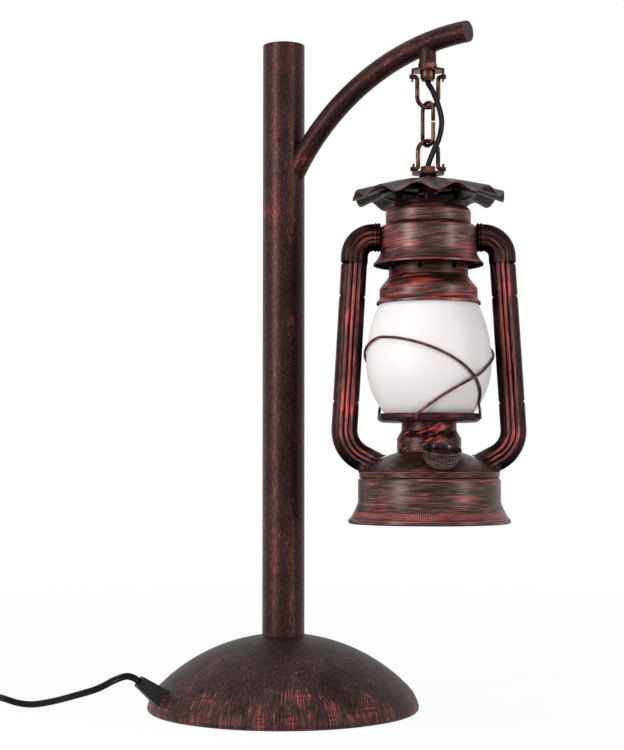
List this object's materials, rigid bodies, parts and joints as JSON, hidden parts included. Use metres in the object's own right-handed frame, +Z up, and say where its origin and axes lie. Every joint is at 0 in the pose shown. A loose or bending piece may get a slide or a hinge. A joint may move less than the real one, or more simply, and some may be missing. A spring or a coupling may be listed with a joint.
{
  "type": "table lamp with hanging lantern",
  "caption": "Table lamp with a dome base, straight post and bent arm; a hurricane-style lantern with a frosted globe hangs from the arm by a short chain.",
  "frame": {"origin": "middle of the base's underside, on the post axis", "axes": "+Z up along the post, the lantern's side tubes along X, the filler cap toward -Y"},
  "size_m": [0.5238, 0.3124, 0.507],
  "materials": {
    "dark_metal": "antique black-brown with brushed red streaks",
    "post_metal": "antique maroon brown",
    "copper": "antique copper",
    "steel": "plain zinc",
    "iron": "as cast",
    "felt": "black felt",
    "wire": "blackened wire",
    "black_plastic": "moulded black",
    "lead": "black flexible sheath",
    "pins": "nickel plated",
    "opal_glass": "frosted opal",
    "holder": "plain white"
  },
  "bodies": {
    "stand": {"base_dome": "dark_metal", "base_pad": "felt", "base_plate": "steel", "base_weight": "iron", "base_stud": "steel", "base_washer": "steel", "base_nut": "steel", "post_tube": "post_metal", "post_cap": "post_metal", "post_foot": "steel", "arm_tube": "post_metal", "arm_end_cap": "post_metal", "arm_boss": "post_metal", "hanger_pipe": "copper", "hanger_nut": "copper", "hanger_plate": "copper", "hanger_bush": "black_plastic", "inner_lead": "lead", "cord_gland": "black_plastic", "cord_run": "lead", "switch_body": "black_plastic", "cord_coil": "lead", "plug_body": "black_plastic", "plug_pins": "pins"},
    "switch_rocker": {"switch_rocker": "black_plastic"},
    "upper_bail": {"upper_bail": "copper"},
    "chain_link": {"chain_link": "copper"},
    "lower_bail": {"lower_bail": "copper"},
    "lantern": {"chain_lead": "lead", "lower_plate": "copper", "lower_nut": "copper", "lantern_pipe": "copper", "cap_collar": "dark_metal", "ruffled_cap": "dark_metal", "crown": "dark_metal", "crown_nut": "copper", "hood": "dark_metal", "chimney": "dark_metal", "side_tube_left": "dark_metal", "side_tube_right": "dark_metal", "globe": "opal_glass", "globe_plate": "dark_metal", "guard_wire_a": "wire", "guard_wire_b": "wire", "burner": "dark_metal", "tank_top": "dark_metal", "tank_body": "dark_metal", "tank_bottom": "dark_metal", "filler_neck": "dark_metal", "lamp_holder": "holder", "bulb": "opal_glass"},
    "filler_cap": {"filler_cap": "dark_metal"}
  },
  "joints": [
    {"name": "upper_bail_swing", "type": "hinge", "parent": "stand", "child": "upper_bail", "pos_m": [0.10485, -0.07342, 0.46633], "axis": [1, 0, 0], "range_deg": [-25, 6], "deforming": ["chain_lead"]},
    {"name": "chain_link_swing", "type": "hinge", "parent": "upper_bail", "child": "chain_link", "pos_m": [0.10485, -0.07342, 0.45143], "axis": [0, 1, 0], "range_deg": [-20, 3], "deforming": ["chain_lead"]},
    {"name": "lower_bail_swing", "type": "hinge", "parent": "chain_link", "child": "lower_bail", "pos_m": [0.10485, -0.07342, 0.41213], "axis": [0, 1, 0], "range_deg": [-15, 2], "deforming": ["chain_lead"]},
    {"name": "lantern_swing", "type": "hinge", "parent": "lower_bail", "child": "lantern", "pos_m": [0.10485, -0.07342, 0.39883], "axis": [1, 0, 0], "range_deg": [-20, 5], "deforming": ["chain_lead"]},
    {"name": "filler_cap_turn", "type": "hinge", "parent": "lantern", "child": "filler_cap", "pos_m": [0.11014, -0.11105, 0.18817], "axis": [0.043, -0.306, 0.9511], "range_deg": [0, 330]},
    {"name": "rocker_tip", "type": "hinge", "parent": "stand", "child": "switch_rocker", "pos_m": [-0.262, 0.03, 0.0131], "axis": [0, 1, 0], "range_deg": [-16, 0]}
  ]
}
